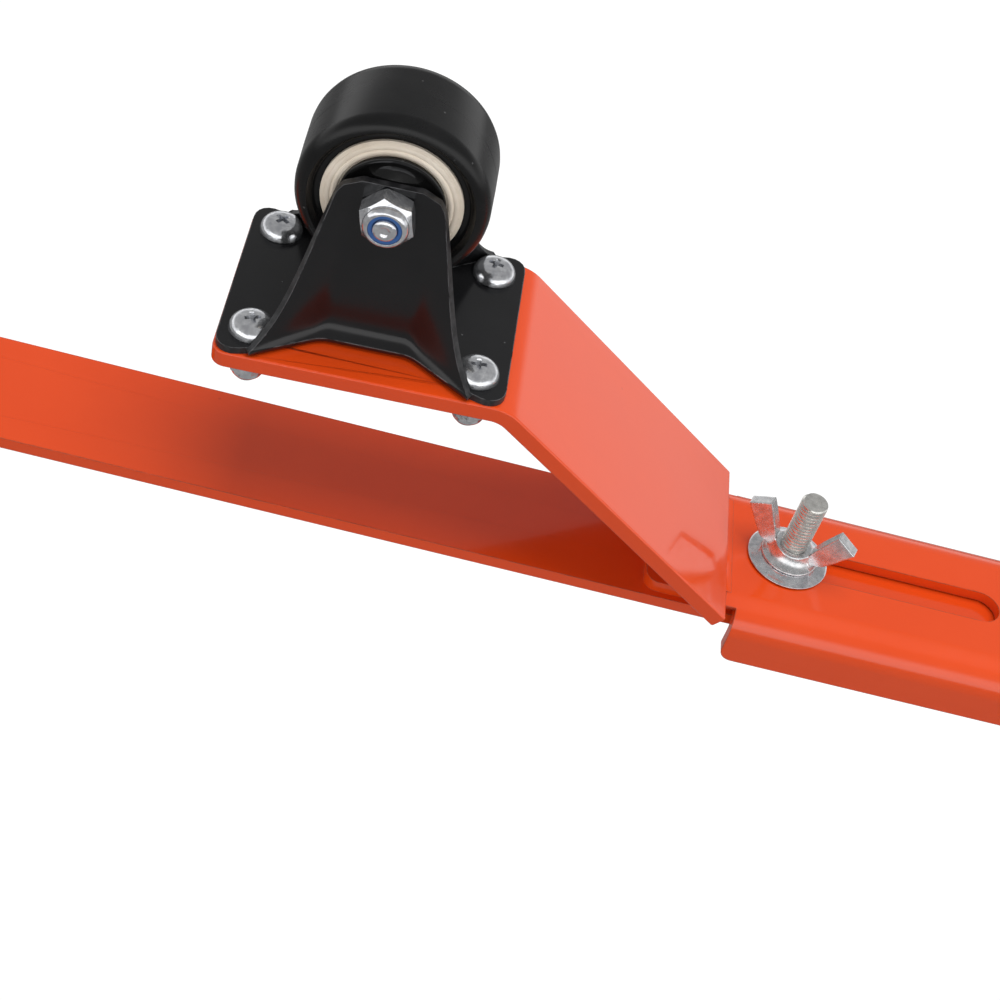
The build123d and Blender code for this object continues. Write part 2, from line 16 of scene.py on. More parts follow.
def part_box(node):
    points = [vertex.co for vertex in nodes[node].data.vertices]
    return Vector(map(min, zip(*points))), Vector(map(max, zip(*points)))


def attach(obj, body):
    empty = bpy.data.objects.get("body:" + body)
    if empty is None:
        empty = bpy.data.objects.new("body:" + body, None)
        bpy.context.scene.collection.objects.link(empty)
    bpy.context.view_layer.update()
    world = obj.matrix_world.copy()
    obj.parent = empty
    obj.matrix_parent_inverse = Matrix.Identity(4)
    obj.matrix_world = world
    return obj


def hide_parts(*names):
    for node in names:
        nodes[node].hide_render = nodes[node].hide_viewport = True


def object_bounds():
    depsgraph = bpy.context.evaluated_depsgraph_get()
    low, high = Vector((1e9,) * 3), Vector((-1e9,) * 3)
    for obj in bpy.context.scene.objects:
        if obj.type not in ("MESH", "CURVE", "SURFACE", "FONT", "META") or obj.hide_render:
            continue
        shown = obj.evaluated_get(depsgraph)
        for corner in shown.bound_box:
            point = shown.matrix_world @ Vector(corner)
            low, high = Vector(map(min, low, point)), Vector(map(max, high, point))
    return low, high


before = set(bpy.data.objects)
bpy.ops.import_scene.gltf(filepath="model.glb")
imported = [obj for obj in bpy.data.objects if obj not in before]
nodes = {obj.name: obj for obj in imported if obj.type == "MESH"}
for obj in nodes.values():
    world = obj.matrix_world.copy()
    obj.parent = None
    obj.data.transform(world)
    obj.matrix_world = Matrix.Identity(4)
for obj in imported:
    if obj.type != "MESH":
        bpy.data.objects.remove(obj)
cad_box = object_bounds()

MM = 0.001
print("nodes", len(nodes), "box", [[round(c, 3) for c in corner] for corner in cad_box])


# %% [markdown]
# Every place comes from the CAD model: the centre of a node's box is the centre of the real piece. The
# wheel's centre and the tilt of its shelf place the whole caster, so one matrix serves all its parts.

# %% Places
def centre_of(node):
    """The middle of a CAD node's box, in metres."""
    low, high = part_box(node)
    return (Vector(low) + Vector(high)) / 2


X, Y, Z = Vector((1, 0, 0)), Vector((0, 1, 0)), Vector((0, 0, 1))
shelf_tilt = radians(3.2)
axle_height = 44.4 * MM
screw_places = [(x, y) for x in (-30, 30) for y in (-21.25, 21.25)]
axle = centre_of("wheel_tread")
to_axle = Matrix.Translation(axle) @ Matrix.Rotation(-shelf_tilt, 4, "Y")
to_shelf = to_axle @ Matrix.Translation(-axle_height * Z)
web_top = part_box("channel")[1][2]
bar_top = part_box("guide_plate")[0][2]
bolt_places = [centre_of("clamp_washer_1").x, centre_of("clamp_washer_2").x]
lock_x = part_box("lock_hook_liner")[1][0] - 10 * MM
print("axle", [round(c, 4) for c in axle], "bolts", [round(x, 4) for x in bolt_places])

# %% [markdown]
# Node trees read better when one call makes a node, sets its options and wires its inputs. A value
# that is a socket is linked, and anything else is the socket's own setting.


# %% Node helpers
def wire(tree, node, **inputs):
    """Link or set a node's sockets, each named with _ for a space, or with i and its number."""
    for key, value in inputs.items():
        numbered = key[0] == "i" and key[1:].isdigit()
        socket = node.inputs[int(key[1:]) if numbered else key.replace("_", " ")]
        if isinstance(value, bpy.types.NodeSocket):
            tree.links.new(value, socket)
        else:
            socket.default_value = value
    return node


def put(tree, kind, options=None, **inputs):
    """Add a node: options are its properties, and inputs are its sockets."""
    made = tree.nodes.new("ShaderNode" + kind)
    for key, value in (options or {}).items():
        setattr(made, key, value)
    return wire(tree, made, **inputs)


def math(tree, operation, a, b):
    return put(tree, "Math", {"operation": operation}, i0=a, i1=b).outputs[0]


def mix(tree, factor, a, b):
    """Blend two colours by a factor that changes over the surface."""
    made = put(tree, "Mix", {"data_type": "RGBA"}, i0=factor, i6=a, i7=b)
    return made.outputs[2]


def span(tree, value, low, high, to_low=0.0, to_high=1.0):
    """Stretch a value from one range to another, held at both ends."""
    return put(tree, "MapRange", {"clamp": True}, Value=value, From_Min=low, From_Max=high,
               To_Min=to_low, To_Max=to_high).outputs[0]


def noise(tree, where, scale, detail=2.0, rough=0.5):
    return put(tree, "TexNoise", Vector=where, Scale=scale, Detail=detail, Roughness=rough).outputs["Fac"]


def new_group(name, inputs, outputs):
    """An empty shader node group with named sockets, and its input and output nodes."""
    group = bpy.data.node_groups.new(name, "ShaderNodeTree")
    for socket, kind, value in inputs:
        made = group.interface.new_socket(name=socket, in_out="INPUT", socket_type="NodeSocket" + kind)
        if value is not None:
            made.default_value = value
    for socket, kind in outputs:
        group.interface.new_socket(name=socket, in_out="OUTPUT", socket_type="NodeSocket" + kind)
    return group, group.nodes.new("NodeGroupInput").outputs, group.nodes.new("NodeGroupOutput").inputs


def use(tree, group, **inputs):
    """Place a node group in a material, with this material's own values."""
    return put(tree, "Group", {"node_tree": group}, **inputs).outputs


# %% [markdown]
# Three effects are shared by most finishes. Paint is thin on a sheared edge, so a line of wear runs
# along it. Any sprayed or plated skin has a fine grain. Handling leaves specks and dust. Each effect
# is a group that gives masks and heights, and each material decides what to do with them.

# %% Shared effects
edge_group, g_in, g_out = new_group(
    "edge_wear", [("Vector", "Vector", None), ("Radius", "Float", 0.0005), ("Patchiness", "Float", 0.5)],
    [("Mask", "Float")])
rounded = put(edge_group, "Bevel", {"samples": 6}, Radius=g_in["Radius"]).outputs["Normal"]
true_normal = put(edge_group, "NewGeometry").outputs["Normal"]
agree = put(edge_group, "VectorMath", {"operation": "DOT_PRODUCT"}, i0=rounded, i1=true_normal)
edge_line = span(edge_group, agree.outputs["Value"], 0.992, 0.93)
patches = noise(edge_group, g_in["Vector"], 260.0, 3.0, 0.6)
broken = math(edge_group, "SUBTRACT", patches, math(edge_group, "MULTIPLY", g_in["Patchiness"], 0.6))
worn = math(edge_group, "MULTIPLY", edge_line, span(edge_group, broken, 0.05, 0.35))
edge_group.links.new(worn, g_out["Mask"])

grain_group, g_in, g_out = new_group(
    "skin_grain", [("Vector", "Vector", None), ("Scale", "Float", 900.0), ("Blotch Scale", "Float", 40.0)],
    [("Height", "Float"), ("Blotch", "Float")])
fine = noise(grain_group, g_in["Vector"], g_in["Scale"], 2.0, 0.55)
broad = noise(grain_group, g_in["Vector"], g_in["Blotch Scale"], 3.0, 0.6)
grain_group.links.new(fine, g_out["Height"])
grain_group.links.new(broad, g_out["Blotch"])

speck_group, g_in, g_out = new_group(
    "specks", [("Vector", "Vector", None), ("Scale", "Float", 220.0), ("Size", "Float", 0.12),
               ("Share", "Float", 0.12)], [("Mask", "Float")])
cells = put(speck_group, "TexVoronoi", Vector=g_in["Vector"], Scale=g_in["Scale"])
dot_shape = put(speck_group, "MapRange", {"clamp": True}, Value=cells.outputs["Distance"],
                From_Min=g_in["Size"], From_Max=0.0).outputs[0]
lottery = put(speck_group, "SeparateColor", Color=cells.outputs["Color"]).outputs[0]
chosen = math(speck_group, "LESS_THAN", lottery, g_in["Share"])
speck_group.links.new(math(speck_group, "MULTIPLY", dot_shape, chosen), g_out["Mask"])
print("groups", [group.name for group in bpy.data.node_groups])


# %% Material starter
def start_material(name):
    """A material with its Principled shader and the object coordinates that its patterns read."""
    material = bpy.data.materials.new(name)
    material.use_nodes = True
    tree = material.node_tree
    shader = tree.nodes["Principled BSDF"]
    where = put(tree, "TexCoord").outputs["Object"]
    return material, tree, shader, where


def bump(tree, height, distance, strength, **under):
    """The normal that a height gives, over another bump's normal where there is one."""
    return put(tree, "Bump", Strength=strength, Distance=distance, Height=height, **under).outputs[0]


# %% [markdown]
# The orange powder coat is a thick gloss paint baked on bare steel. It pools slightly, which shows as
# orange peel in its reflections, it is a shade deeper in places, and it draws back from sheared edges,
# where a thin brown line of primer and rust shows.

# %% Orange powder coat
orange_coat, tree, shader, where = start_material("orange_powder_coat")
grain = use(tree, grain_group, Vector=where, Scale=420.0, Blotch_Scale=28.0)
wear = use(tree, edge_group, Vector=where, Radius=0.0006, Patchiness=0.30)["Mask"]
specks = use(tree, speck_group, Vector=where, Scale=150.0, Size=0.09, Share=0.05)["Mask"]
paint = mix(tree, grain["Blotch"], (0.70, 0.058, 0.005, 1), (0.77, 0.072, 0.008, 1))
flecked = mix(tree, math(tree, "MULTIPLY", specks, 0.55), paint, (0.30, 0.035, 0.010, 1))
colour = mix(tree, math(tree, "MULTIPLY", wear, 0.75), flecked, (0.16, 0.050, 0.022, 1))
gloss = span(tree, grain["Blotch"], 0.3, 0.7, 0.13, 0.19)
wire(tree, shader, Base_Color=colour, Coat_Weight=span(tree, wear, 0.0, 1.0, 0.35, 0.0),
     Roughness=math(tree, "ADD", gloss, math(tree, "MULTIPLY", wear, 0.35)),
     Coat_Roughness=0.04, Coat_IOR=1.5, Normal=bump(tree, grain["Height"], 0.00005, 0.35))

# %% [markdown]
# The caster fork has a thinner black enamel. It wears through to grey steel along the edges of the
# pressing, and the spray leaves it a little uneven. The sheet's sheared edge took less of it, so bare
# steel shows there in patches.

# %% Black enamel
black_enamel, tree, shader, where = start_material("black_enamel")
grain = use(tree, grain_group, Vector=where, Scale=700.0, Blotch_Scale=60.0)
wear = use(tree, edge_group, Vector=where, Radius=0.0005, Patchiness=0.50)["Mask"]
specks = use(tree, speck_group, Vector=where, Scale=260.0, Size=0.10, Share=0.05)["Mask"]
paint = mix(tree, grain["Blotch"], (0.0045, 0.0045, 0.005, 1), (0.010, 0.010, 0.011, 1))
bare = math(tree, "MAXIMUM", math(tree, "MULTIPLY", wear, 0.9), math(tree, "MULTIPLY", specks, 0.5))
wire(tree, shader, Base_Color=mix(tree, bare, paint, (0.30, 0.30, 0.31, 1)),
     Metallic=span(tree, bare, 0.2, 1.0, 0.0, 0.8),
     Roughness=span(tree, grain["Blotch"], 0.3, 0.7, 0.15, 0.22), Specular_IOR_Level=0.42,
     Normal=bump(tree, grain["Height"], 0.00003, 0.25))

sheared_edge, tree, shader, where = start_material("sheared_edge")
grain = use(tree, grain_group, Vector=where, Scale=1500.0, Blotch_Scale=380.0)
thin = span(tree, grain["Blotch"], 0.46, 0.66)
wire(tree, shader, Base_Color=mix(tree, thin, (0.010, 0.010, 0.011, 1), (0.055, 0.055, 0.057, 1)),
     Metallic=span(tree, thin, 0.0, 1.0, 0.0, 0.5),
     Roughness=span(tree, grain["Height"], 0.3, 0.7, 0.34, 0.55),
     Normal=bump(tree, grain["Height"], 0.00008, 0.6))

# %% [markdown]
# Nuts, screws and bolts are zinc plated: bright, slightly blue, with soft mottling, and a few darker
# scuffs where the wrench has been. The wing nuts are cast and then plated, so theirs is a rougher skin.


# %% Zinc plate, smooth and cast
def zinc_plate(name, grain_scale, rough, grain_depth, dark, bright, dent=0.0):
    """A plated steel finish: grain, least and most roughness, two shades, and how deep its soft dents are."""
    material, tree, shader, where = start_material(name)
    grain = use(tree, grain_group, Vector=where, Scale=grain_scale, Blotch_Scale=520.0)
    scuffs = use(tree, speck_group, Vector=where, Scale=900.0, Size=0.4, Share=0.16)["Mask"]
    tone = span(tree, grain["Blotch"], 0.34, 0.66)
    plated = mix(tree, tone, dark, bright)
    scuffed = mix(tree, math(tree, "MULTIPLY", scuffs, 0.45), plated, (0.20, 0.20, 0.21, 1))
    fine_bump = bump(tree, grain["Height"], grain_depth, 0.5)
    wire(tree, shader, Base_Color=scuffed, Metallic=0.92,
         Roughness=span(tree, grain["Height"], 0.3, 0.7, *rough),
         Normal=bump(tree, grain["Blotch"], dent, 1.0, Normal=fine_bump))
    return material


zinc_bright = zinc_plate("zinc_plate", 1900.0, (0.10, 0.22), 0.00001,
                         dark=(0.60, 0.61, 0.64, 1), bright=(0.86, 0.87, 0.89, 1), dent=0.00009)
zinc_thread = zinc_plate("zinc_thread", 1500.0, (0.18, 0.32), 0.00001,
                         dark=(0.66, 0.65, 0.62, 1), bright=(0.90, 0.89, 0.85, 1), dent=0.00002)
zinc_cast = zinc_plate("zinc_cast", 2300.0, (0.20, 0.34), 0.00002,
                       dark=(0.60, 0.61, 0.62, 1), bright=(0.86, 0.86, 0.87, 1), dent=0.00003)
bearing_steel = zinc_plate("bearing_steel", 500.0, (0.06, 0.12), 0.00001,
                           dark=(0.66, 0.66, 0.67, 1), bright=(0.78, 0.78, 0.79, 1))


# %% [markdown]
# The plastics and rubbers share one recipe: a base of two close shades, a grain for the height, and
# dust in a paler colour, with its own amounts for each of them.

# %% Rubber and plastic
def moulded(name, deep, light, rough, grain_scale, grain_depth, dust=0.0, dust_colour=(0.3, 0.3, 0.3, 1),
            sheen=0.5):
    """A moulded finish from its two shades, roughness, grain and dust."""
    material, tree, shader, where = start_material(name)
    grain = use(tree, grain_group, Vector=where, Scale=grain_scale, Blotch_Scale=70.0)
    fleck = use(tree, speck_group, Vector=where, Scale=420.0, Size=0.16, Share=0.10)["Mask"]
    body = mix(tree, span(tree, grain["Blotch"], 0.3, 0.7), deep, light)
    wire(tree, shader, Base_Color=mix(tree, math(tree, "MULTIPLY", fleck, dust), body, dust_colour),
         Roughness=span(tree, grain["Blotch"], 0.3, 0.7, rough - 0.05, rough + 0.05),
         Specular_IOR_Level=sheen, Normal=bump(tree, grain["Height"], grain_depth, 0.5))
    return material


tread_rubber = moulded("tread_rubber", (0.004, 0.004, 0.0042, 1), (0.007, 0.007, 0.0073, 1), rough=0.26,
                       grain_scale=1400.0, grain_depth=0.00002, dust=0.35, sheen=0.30)
grip_rubber = moulded("grip_rubber", (0.010, 0.010, 0.011, 1), (0.020, 0.020, 0.021, 1), rough=0.62,
                      grain_scale=900.0, grain_depth=0.00008, dust=0.25)
cream_plastic = moulded("cream_plastic", (0.72, 0.61, 0.49, 1), (0.90, 0.81, 0.69, 1), rough=0.42,
                        grain_scale=600.0, grain_depth=0.00004, dust=0.3, dust_colour=(0.20, 0.15, 0.10, 1))
black_plastic = moulded("black_plastic", (0.003, 0.003, 0.003, 1), (0.006, 0.006, 0.006, 1), rough=0.12,
                        grain_scale=500.0, grain_depth=0.00001, dust=0.2)
cap_plastic = moulded("cap_plastic", (0.008, 0.008, 0.009, 1), (0.014, 0.014, 0.015, 1), rough=0.40,
                      grain_scale=900.0, grain_depth=0.00005, dust=0.2)
blue_nylon = moulded("blue_nylon", (0.03, 0.10, 0.30, 1), (0.05, 0.14, 0.38, 1), rough=0.35,
                     grain_scale=700.0, grain_depth=0.00002)
print("materials", len(bpy.data.materials))


# %% [markdown]
# A finished piece stands at the origin with its place in its mesh, as the CAD nodes do. Its modifiers
# are settled into the mesh, so what is measured and shaded is the real surface. Edges sharper than an
# angle stay crisp and the rest are shaded smooth. Large faces rule the normals, so that a flat plate
# reflects like a flat plate right up to its rounded edge.

# %% Finish a piece
def placed(name, data):
    """An object that holds this data, linked into the scene."""
    made = bpy.data.objects.new(name, data)
    bpy.context.collection.objects.link(made)
    return made


def modified(mesh, kind, settings):
    """A mesh with one modifier settled into it."""
    holder = placed("holder", mesh)
    made = holder.modifiers.new(kind, kind)
    for key, value in settings.items():
        setattr(made, key, value)
    bpy.context.view_layer.update()
    settled = holder.evaluated_get(bpy.context.evaluated_depsgraph_get())
    result = bpy.data.meshes.new_from_object(settled)
    bpy.data.objects.remove(holder)
    return result


def settle(name, bm, modifiers=(), closed=True):
    """Turn a bmesh into a mesh with its modifiers settled. It has a slot for faces and one for cut edges.

    Modifiers are (type, settings) pairs, and an open sheet keeps its own normals.
    """
    bmesh.ops.remove_doubles(bm, verts=bm.verts, dist=1e-6)
    if closed:
        bmesh.ops.recalc_face_normals(bm, faces=bm.faces)
    mesh = bpy.data.meshes.new(name)
    bm.to_mesh(mesh)
    bm.free()
    for surface in ("face", "cut edge"):
        mesh.materials.append(bpy.data.materials.get(surface) or bpy.data.materials.new(surface))
    for kind, settings in modifiers:
        mesh = modified(mesh, kind, settings)
    mesh.name = name
    return mesh


def show(name, mesh, body, material, slot, *cad_nodes, sharp=32.0, edge_material=None):
    """Put a mesh in the scene as a piece that rides on a body and stands for its CAD nodes."""
    mesh.polygons.foreach_set("use_smooth", [True] * len(mesh.polygons))
    mesh.set_sharp_from_angle(angle=radians(sharp))
    mesh = modified(mesh, "WEIGHTED_NORMAL", {"keep_sharp": True, "weight": 90})
    mesh.name = name
    finish = [polygon.material_index for polygon in mesh.polygons]
    mesh.materials.clear()
    for surface in (material, edge_material or material):
        mesh.materials.append(surface)
    mesh.polygons.foreach_set("material_index", finish)
    piece = placed(name, mesh)
    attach(piece, body)
    if cad_nodes:
        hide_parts(*cad_nodes)
    low = [min(v.co[k] for v in mesh.vertices) for k in range(3)]
    high = [max(v.co[k] for v in mesh.vertices) for k in range(3)]
    print(name, len(mesh.polygons), "faces", [round((h - l) / MM, 1) for l, h in zip(low, high)], "mm")
    return piece


def soft_edges(width, segments=3, angle=35.0):
    """The bevel that rounds a finished piece's edges, as a modifier."""
    return ("BEVEL", {"width": width * MM, "segments": segments, "limit_method": "ANGLE",
                      "angle_limit": radians(angle), "profile": 0.5, "use_clamp_overlap": True})


def plate_wall(thickness):
    """The wall of a sheet whose mesh is its outer face, as a modifier. Its cut edges get a second finish."""
    return ("SOLIDIFY", {"thickness": thickness * MM, "offset": -1.0, "use_even_offset": True,
                         "material_offset_rim": 1})


# %% [markdown]
# The bar, channel and bracket start as real sheet parts do: a flat blank is cut with its holes and
# corners, and then folded round a radius. An outline is a few corner points, each rounded by a vertex
# bevel. A hole is a circle whose quarters are moved apart. The fold cuts the blank across the bend with
# bisecting planes and carries everything past it round the arc.


# %% Blanks and folds
def outline(bm, corners):
    """A closed outline of (x, y, corner radius) points in millimetres."""
    points = [bm.verts.new((x * MM, y * MM, 0)) for x, y, _ in corners]
    for start, end in zip(points, points[1:] + points[:1]):
        bm.edges.new((start, end))
    for point, (_, _, radius) in zip(points, corners):
        if radius:
            bmesh.ops.bevel(bm, geom=[point], offset=radius * MM, affect="VERTICES", segments=8, profile=0.5,
                            material=-1)


def hole(bm, centre, half_x, half_y, corner):
    """A round hole, slot or rounded square: a circle whose quarters are moved apart."""
    steps = 32
    made = bmesh.ops.create_circle(bm, segments=steps, radius=corner * MM)["verts"]
    bmesh.ops.rotate(bm, verts=made, cent=(0, 0, 0), matrix=Matrix.Rotation(pi / steps, 3, "Z"))
    for v in made:
        v.co.x += (1 if v.co.x > 0 else -1) * (half_x - corner) * MM + centre[0] * MM
        v.co.y += (1 if v.co.y > 0 else -1) * (half_y - corner) * MM + centre[1] * MM


def fill_blank(bm):
    """Fill an outline and its holes with faces that look up."""
    bmesh.ops.triangle_fill(bm, edges=bm.edges[:], use_beauty=True, normal=(0, 0, 1))
    if bm.faces and sum(face.normal.z for face in bm.faces) < 0:
        bmesh.ops.reverse_faces(bm, faces=bm.faces)


def fold(bm, along, at, radius, turn, steps=12):
    """Fold a sheet down past the line at a distance along a direction, or up where turn is negative."""
    at, radius, arc = at * MM, radius * MM, abs(turn) * radius * MM
    for k in range(steps + 1):
        bmesh.ops.bisect_plane(bm, geom=bm.verts[:] + bm.edges[:] + bm.faces[:], dist=1e-7,
                               plane_co=along * (at + arc * k / steps), plane_no=along)
    way = 1 if turn > 0 else -1
    for v in bm.verts:
        past = v.co.dot(along) - at
        if past > 1e-7:
            angle = min(past, arc) / radius
            rest = max(0.0, past - arc)
            deep = radius + way * v.co.z
            reach = deep * sin(angle) + rest * cos(angle)
            drop = radius - deep * cos(angle) + rest * sin(angle)
            v.co += along * (reach - past)
            v.co.z = -way * drop


# %% [markdown]
# The wheel bracket is one strip of 5 mm plate, folded once. Its shelf carries the caster, and its slope
# runs down to the channel's end, where a small weld bead joins the two.

# %% Wheel bracket
bracket_width, bracket_wall, bracket_bend = 61.0, 5.0, 12.0
shelf_length, slope_length, caster_inset = 79.0, 97.0, 40.0
screw_hole, bolt_hole = 3.3, 4.1
bracket_turn = radians(36.5) + shelf_tilt
bend_setback = bracket_bend * tan(bracket_turn / 2)
slope_end = bracket_bend * bracket_turn + slope_length - bend_setback
shelf_end = -(shelf_length - bend_setback)
half = bracket_width / 2

bm = bmesh.new()
outline(bm, [(shelf_end, -half, 4), (slope_end, -half, 0), (slope_end, half, 0), (shelf_end, half, 4)])
for screw_x, screw_y in screw_places:
    hole(bm, (screw_x - caster_inset + bend_setback, screw_y), screw_hole, screw_hole, screw_hole)
fill_blank(bm)
fold(bm, X, 0, bracket_bend, bracket_turn)
to_bend = to_shelf @ Matrix.Translation(X * (caster_inset - bend_setback) * MM)
bm.transform(to_bend)
mesh = settle("wheel_bracket", bm, [plate_wall(bracket_wall), soft_edges(0.6)], closed=False)
show("wheel_bracket_plate", mesh, "channel", orange_coat, "orange_coat", "wheel_bracket")

weld_half, weld_leg, weld_turn = 19.0, 1.6, radians(36.5)
foot = Vector((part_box("channel")[0][0] / MM, 0, web_top / MM))
weld_steps, weld_rise, weld_root = 8, 0.05, 2.0
weld_radius = weld_leg / tan(weld_turn / 2)
weld_line = [(foot.x + weld_leg - weld_radius * sin(a), foot.z + weld_rise + weld_radius * (1 - cos(a)))
             for a in (weld_turn * k / weld_steps for k in range(weld_steps + 1))]
weld_line += [(foot.x - 0.8, foot.z - weld_root), (foot.x + 1.2, foot.z - weld_root)]
bm = bmesh.new()
section = [bm.verts.new((x * MM, -weld_half * MM, z * MM)) for x, z in weld_line]
face = bm.faces.new(section)
grown = bmesh.ops.extrude_face_region(bm, geom=[face])["geom"]
far_end = [item for item in grown if isinstance(item, bmesh.types.BMVert)]
bmesh.ops.translate(bm, verts=far_end, vec=Y * 2 * weld_half * MM)
show("weld_bead", settle("weld_bead", bm, [soft_edges(0.3, 2)]), "channel", orange_coat, "orange_coat",
     "bracket_weld", sharp=50)

# %% [markdown]
# The channel is thinner sheet. Its blank has two slots, corners that become the flanges' rounded ends,
# relief cuts where the bracket is welded on, and a notch in each flange for the locked rung.

# %% Sliding channel
channel_wall, channel_bend, channel_half, flange_depth = 3.5, 10.0, 27.5, 19.2
channel_start, channel_end = (c[0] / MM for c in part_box("channel"))
web_half = channel_half - channel_bend
flat_half = web_half + channel_bend * pi / 2 + flange_depth - channel_bend
relief, relief_depth = 3.6, web_half + 5.8
flange_corner = 4
notch_radius = 20.0
flange_foot = web_top / MM - flange_depth
notch_start = asin(flange_foot / notch_radius)
notch_steps = 14
slot_width, slot_centres, slot_shift = 11.5, 60.0, 1.0


def flange_notch(side):
    """The rung's round notch in one flange, as points of the flat blank."""
    points = []
    for k in range(notch_steps + 1):
        angle = notch_start + (pi - 2 * notch_start) * k / notch_steps
        rise = notch_radius * sin(angle) - flange_foot
        points.append((lock_x / MM - side * notch_radius * cos(angle), side * (flat_half - rise), 0))
    return points


bm = bmesh.new()
near_edge = [(channel_start, -relief_depth, 0), (channel_start + relief, -relief_depth, 0),
             (channel_start + relief, -flat_half, flange_corner)]
far_edge = [(x, -y, r) for x, y, r in reversed(near_edge)]
channel_tail = [(channel_end, side * flat_half, flange_corner) for side in (-1, 1)]
outline(bm, near_edge + flange_notch(-1)[::-1] + channel_tail + flange_notch(1)[::-1] + far_edge)
for bolt_x in bolt_places:
    slot_middle = bolt_x / MM + slot_shift + slot_centres / 2
    hole(bm, (slot_middle, 0), (slot_centres + slot_width) / 2, slot_width / 2, slot_width / 2)
fill_blank(bm)
for along in (Y, -Y):
    fold(bm, along, web_half, channel_bend, pi / 2)
bmesh.ops.translate(bm, verts=bm.verts, vec=Z * web_top)
mesh = settle("channel", bm, [plate_wall(channel_wall), soft_edges(0.45)], closed=False)
show("channel_rail", mesh, "channel", orange_coat, "orange_coat", "channel")

# %% [markdown]
# The hook bar is a long 4 mm strip: one end is folded nearly square for the arm that drops behind the
# ridge, and the other is rolled half round for the load-bearing rung.

# %% Hook bar and guide plate
bar_half, bar_wall, bar_bend, arm_length = 20.0, 4.0, 14.0, 200.0
arm_turn, hook_radius, lip = radians(85), 24.0, 10.0
bar_reach, tee_bolt_inset, tee_bolt_spacing = 722.0, 12.5, 20.0
arm_setback = bar_bend * tan(arm_turn / 2)
arm_start = bar_reach - arm_setback
arm_end = arm_start + bar_bend * arm_turn + arm_length - arm_setback
bm = bmesh.new()
hook_end = hook_radius * pi + lip
outline(bm, [(-arm_end, -bar_half, 5), (hook_end, -bar_half, 4), (hook_end, bar_half, 4),
             (-arm_end, bar_half, 5)])
for bolt_x in bolt_places:
    hole(bm, (bolt_x / MM, 0), bolt_hole, bolt_hole, 0.8)
for side in (-1, 1):
    hole(bm, (-arm_end + tee_bolt_inset, side * tee_bolt_spacing / 2), bolt_hole, bolt_hole, bolt_hole)
fill_blank(bm)
fold(bm, X, 0, hook_radius, pi, 28)
fold(bm, -X, arm_start, bar_bend, arm_turn, 12)
bmesh.ops.translate(bm, verts=bm.verts, vec=Z * bar_top)
mesh = settle("hook_bar", bm, [plate_wall(bar_wall), soft_edges(0.5)], closed=False)
show("hook_bar_strip", mesh, "bar", orange_coat, "orange_coat", "hook_bar")

guide_low, guide_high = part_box("guide_plate")
bm = bmesh.new()
outline(bm, [(corner_x / MM, corner_y / MM, 4) for corner_x, corner_y in (
    (guide_low[0], guide_low[1]), (guide_high[0], guide_low[1]),
    (guide_high[0], guide_high[1]), (guide_low[0], guide_high[1]))])
for bolt_x in bolt_places:
    hole(bm, (bolt_x / MM, 0), bolt_hole, bolt_hole, bolt_hole)
fill_blank(bm)
bmesh.ops.translate(bm, verts=bm.verts, vec=Z * guide_high[2])
mesh = settle("guide_plate", bm, [plate_wall(bar_wall), soft_edges(0.5)], closed=False)
show("guide_strip", mesh, "bar", orange_coat, "orange_coat", "guide_plate")

# %% [markdown]
# The caster fork is one pressing. Each leg is drawn up from the plate along a line that curves out to
# the plate's corners, so the leg is flat in the middle and its two edges flare like a trumpet. A grid
# is pressed into that form: every row is one height, and the further from the middle, the more the row
# bows outwards, most of all at the foot. Just over the foot the whole row stands out in a short lip. The
# foot row is rolled under and becomes the plate's edge.

# %% Caster fork
fork_wall, fork_face = 2.0, 16.0
plate_half_x, plate_half_y, plate_corner = 38.5, 32.0, 7.0
slot_half, slot_offset = 4.6, 1.1
leg_top, leg_top_half, leg_corner = 52.0, 12.9, 5.5
waist_height, waist_half = 16, 20.6
foot_half, foot_straight, flare_height = 29.4, 22.0, 6.5
leg_panel, crease = 9.5, 0.25
side_bow, foot_bow, foot_bow_height = 6.0, 11.9, 8.4
foot_roll, foot_lip, lip_height = 2.2, 3.4, 1.8
leg_columns, leg_rows, roll_rows, row_crowding = 44, 34, 6, 1.4


def leg_half_width(height):
    """Half the leg's width at a height: wide at the foot, straight-sided above it, round at the top."""
    straight = waist_half + (leg_top_half - waist_half) * (height - waist_height) / (leg_top - waist_height)
    flare = (foot_half - foot_straight) * exp(-height / flare_height)
    past = max(0.0, height - (leg_top - leg_corner))
    return straight + flare - (leg_corner - sqrt(max(0.0, leg_corner ** 2 - past ** 2))) * 0.95


def leg_bow(height, across):
    """How far the leg stands out past its flat panel, at a height and a share of its half width."""
    reach = side_bow * (1 - height / leg_top) + foot_bow * exp(-height / foot_bow_height)
    half_width = leg_half_width(height)
    past = max(0.0, abs(across) * half_width - leg_panel) / (half_width - leg_panel)
    ramp = past ** 2 / (2 * crease) if past < crease else past - crease / 2
    share = ramp / (1 - crease / 2)
    lip = foot_lip * exp((foot_roll - height) / lip_height)
    return reach * share + lip * (1 - share)


